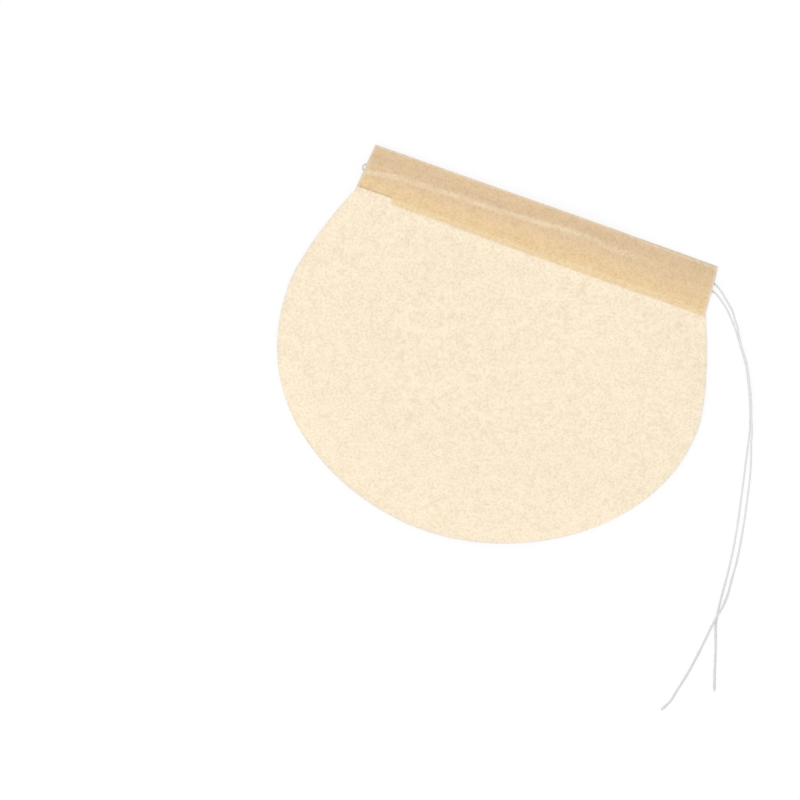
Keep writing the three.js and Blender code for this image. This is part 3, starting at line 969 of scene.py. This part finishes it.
def paperMaterial():
    material, tree = newMaterial("unbleached filter paper")
    look = paperFinish
    place = addNode(tree, "ShaderNodeTexCoord").outputs["Object"]
    placeX = addNode(tree, "ShaderNodeSeparateXYZ", None, Vector=place).outputs["X"]
    belowFold = attributeOf(tree, "belowFold")
    belowCrest = attributeOf(tree, "belowCrest")
    insideFront = attributeOf(tree, "insideFrontFlap")
    insideRear = attributeOf(tree, "insideRearFlap")

    # Layers: four in the hem and two below it, with the sealed strip a little clearer
    sealed = spread(tree, belowFold, 4.5, 11.5)
    hemTone = blendColours(tree, sealed, colour(look["fourLayers"]), colour(look["sealedLayers"]))
    frontFlap = spread(tree, insideFront, -0.3, 0.3, 0.0, look["frontFlapShare"])
    rearFlap = spread(tree, insideRear, -0.2, 0.2, 0.0, 1 - look["frontFlapShare"])
    underFront = spread(tree, belowFold, -0.1, 0.1, 0.2, 1.0)
    hem = calculate(tree, "MULTIPLY", calculate(tree, "ADD", frontFlap, rearFlap), underFront)
    tone = blendColours(tree, hem, colour(look["twoLayers"]), hemTone)

    # White string seen through one layer, plain on the left and fading to the right
    leftwards = spread(tree, placeX, 0.035, 0.01, 0.0, 1.0)
    uneven = spread(tree, noiseAt(tree, place, 3.0 * mm, 1.0), 0.3, 0.6, 0.35, 0.75)
    overString = lineAt(tree, belowCrest, 0.1, 0.85)
    overString = calculate(tree, "MULTIPLY", overString, calculate(tree, "MULTIPLY", leftwards, uneven))
    tone = blendColours(tree, overString, tone, colour(look["overString"]))

    # The seal's upper limit, the fold, a painted highlight along the left half of the flap's edge,
    # and a painted shadow along its trimmed stretch at the left end
    sealLine = lineAt(tree, belowFold, bag["sealTop"] / mm, 0.4)
    sealLine = calculate(tree, "MULTIPLY", sealLine, look["sealLineShare"])
    tone = blendColours(tree, sealLine, tone, colour(look["fourLayers"]))
    onFold = spread(tree, belowFold, 0.0, 0.8, look["foldShare"], 0.0)
    tone = blendColours(tree, onFold, tone, colour(look["foldEdge"]))
    trimmed = flap["trimmedX"]
    onTrim = spread(tree, placeX, trimmed + 0.3 * mm, trimmed - 0.3 * mm)
    onLeft = calculate(tree, "SUBTRACT", spread(tree, placeX, 0.0, -0.018), onTrim)
    onLeft = calculate(tree, "MULTIPLY", onLeft, look["edgeHighlightShare"])
    onTrim = calculate(tree, "MULTIPLY", onTrim, look["trimShare"])
    # A painted highlight just inside the flap's cut edge, on the left half
    edgeHighlight = calculate(tree, "MULTIPLY", lineAt(tree, insideFront, 0.1, 0.4), onLeft)
    tone = blendColours(tree, edgeHighlight, tone, colour(look["edgeHighlight"]))
    # A painted shadow just outside the flap's trimmed stretch
    trimShadow = calculate(tree, "MULTIPLY", lineAt(tree, insideFront, -0.1, 0.35), onTrim)
    tone = blendColours(tree, trimShadow, tone, colour(look["trimShadow"]))

    # Light comes in at the cut edges and makes them paler
    inside = attributeOf(tree, "insideOutline")
    paleEdge = spread(tree, inside, 0.2, 1.1, look["cutEdgeShare"], 0.0)
    tone = blendColours(tree, paleEdge, tone, colour(look["cutEdge"]))

    # Cloudy formation: patches of thicker and thinner pulp
    cloud = noiseAt(tree, place, look["cloud"] * mm, 3.0, roughness=0.6)
    fineCloud = noiseAt(tree, place, look["fineCloud"] * mm, 3.0, roughness=0.65)
    thick = spread(tree, cloud, 0.4, 0.7, 0.0, look["cloudShare"])
    tone = blendColours(tree, thick, tone, colour(look["cloudDark"]), "MULTIPLY")
    thick = spread(tree, fineCloud, 0.4, 0.68, 0.0, look["fineCloudShare"])
    tone = blendColours(tree, thick, tone, colour(look["cloudDark"]), "MULTIPLY")

    # Felted fibres: the narrow band where a stretched noise passes its middle value
    strands = None
    for turn in look["fibreTurns"]:
        stretch = (look["fibreLength"], look["fibreWidth"] * 2.4, 1.0)
        noise = noiseAt(tree, place, mm, 1.0, stretch, turn)
        size = calculate(tree, "ABSOLUTE", calculate(tree, "SUBTRACT", noise, 0.5))
        strand = spread(tree, size, 0.0, 0.045, 1.0, 0.0)
        strands = strand if strands is None else calculate(tree, "MAXIMUM", strands, strand)
    fibreShare = calculate(tree, "MULTIPLY", strands, look["fibreShare"])
    tone = blendColours(tree, fibreShare, tone, colour(look["fibre"]), "MULTIPLY")

    # Bark specks: the middles of a few cells of a Voronoi pattern
    cells = addNode(
        tree,
        "ShaderNodeTexVoronoi",
        {"feature": "F1"},
        Vector=place,
        Scale=1.0 / (look["speckSpacing"] * mm),
    )
    dot = spread(tree, cells.outputs["Distance"], 0.04, 0.09, 1.0, 0.0)
    chosen = addNode(tree, "ShaderNodeSeparateColor", None, Color=cells.outputs["Color"])
    rare = spread(tree, chosen.outputs[0], 0.72, 0.9, 0.0, look["speckShare"])
    speck = calculate(tree, "MULTIPLY", dot, rare)
    tone = blendColours(tree, speck, tone, colour(look["speck"]))

    # Relief: the felted surface
    relief = calculate(tree, "MULTIPLY_ADD", strands, 0.5, fineCloud)
    addMattSurface(tree, look, tone, relief)
    return material


# Carded white cotton yarn: soft and matt, with painted shade deep between the plies, and with fine
# strands that run along each ply. It is painted greyer, as shade, where its plies come loose, and
# whiter where it is twisted tight.
cottonFinish = {
    "tightPly": "#eeeeef",
    # painted greyer, as shade in the hollows of the loose plies
    "loosePlyShaded": "#e5e5e6",
    # painted shade deep between the plies
    "crease": "#c4c4c5",
    "strand": "#d6d6d7",
    "strandWidth": 0.05,  # mm
    "strandLength": 0.9,
    "relief": 0.00003,  # metres
    "reliefShare": 0.5,
    "roughness": 0.9,
    "sheen": 0.2,
}


def cottonMaterial():
    material, tree = newMaterial("twisted white cotton")
    look = cottonFinish
    loosened = attributeOf(tree, "loosened")
    # Painted shade: greyer where the plies come loose towards the cut ends
    ply = blendColours(tree, loosened, colour(look["tightPly"]), colour(look["loosePlyShaded"]))
    # Painted shade in the creases between the plies
    crease = spread(tree, attributeOf(tree, "crease"), 0.35, 1.0, 0.0, 0.85)
    tone = blendColours(tree, crease, ply, colour(look["crease"]))
    along = attributeOf(tree, "along")
    around = attributeOf(tree, "around")
    place = addNode(tree, "ShaderNodeCombineXYZ", None, X=around, Y=along).outputs[0]
    stretch = (look["strandWidth"], look["strandLength"], 1.0)
    strands = noiseAt(tree, place, mm, 2.0, stretch)
    strandShare = spread(tree, strands, 0.45, 0.7, 0.0, 0.6)
    tone = blendColours(tree, strandShare, tone, colour(look["strand"]))
    addMattSurface(tree, look, tone, strands)
    return material


cotton = cottonMaterial()
for piece in stringPieces:
    piece.data.materials.append(cotton)
filterPaper = paperMaterial()
for piece in (backPanel, frontPanel):
    piece.data.materials.append(filterPaper)
print("materials made")


# Plain studio: an even white surround, one broad soft lamp and a white table
studio = {
    "surround": 0.84,
    "key": 0.79,
    "keyAngle": 38.0,  # degrees across the lamp, so that its shadows are soft
    "keyTilt": 40.0,
    "keyFrom": 235.0,  # degrees from +X, round to +Y
    "floorSize": 3.0,
    "floorGlow": 0.85,  # share of the table's white that no shadow touches
}


# One for what the camera sees itself, in a mirror or through glass, and zero otherwise
def seenDirectly(tree):
    rays = addNode(tree, "ShaderNodeLightPath").outputs
    either = calculate(tree, "MAXIMUM", rays["Is Camera Ray"], rays["Is Glossy Ray"])
    return calculate(tree, "MAXIMUM", either, rays["Is Transmission Ray"])


def makeSurround():
    world = bpy.data.worlds.new("studio")
    bpy.context.scene.world = world
    world.use_nodes = True
    tree = world.node_tree
    tree.nodes.clear()
    white = colour("#ffffff")
    lighting = addNode(tree, "ShaderNodeBackground", None, Color=white, Strength=studio["surround"])
    shown = addNode(tree, "ShaderNodeBackground", None, Color=white, Strength=1.0)
    inputs = {"i0": seenDirectly(tree), "i1": lighting.outputs[0], "i2": shown.outputs[0]}
    both = addNode(tree, "ShaderNodeMixShader", None, **inputs)
    addNode(tree, "ShaderNodeOutputWorld", None, Surface=both.outputs[0])


def makeLamp():
    data = bpy.data.lights.new("soft key", "SUN")
    data.energy = studio["key"]
    data.angle = math.radians(studio["keyAngle"])
    lamp = bpy.data.objects.new("soft key", data)
    collection.objects.link(lamp)
    turn = math.radians(studio["keyFrom"] + 90.0)
    lamp.rotation_euler = (math.radians(studio["keyTilt"]), 0.0, turn)


def makeFloor():
    half = studio["floorSize"] / 2
    corners = np.array([(-half, -half, 0), (half, -half, 0), (half, half, 0), (-half, half, 0)])
    floor = addObject("white_table", corners, [[0, 1, 2, 3]])
    material, tree = newMaterial("white table")
    white = colour("#ffffff")
    lit = addNode(tree, "ShaderNodeBsdfDiffuse", None, Color=white)
    glow = addNode(tree, "ShaderNodeEmission", None, Color=white, Strength=1.0)
    share = calculate(tree, "MULTIPLY", seenDirectly(tree), studio["floorGlow"])
    inputs = {"i0": share, "i1": lit.outputs[0], "i2": glow.outputs[0]}
    both = addNode(tree, "ShaderNodeMixShader", None, **inputs)
    addNode(tree, "ShaderNodeOutputMaterial", None, Surface=both.outputs[0])
    floor.data.materials.append(material)


makeSurround()
makeLamp()
makeFloor()
bpy.context.scene.view_settings.view_transform = "Standard"
print("studio made")
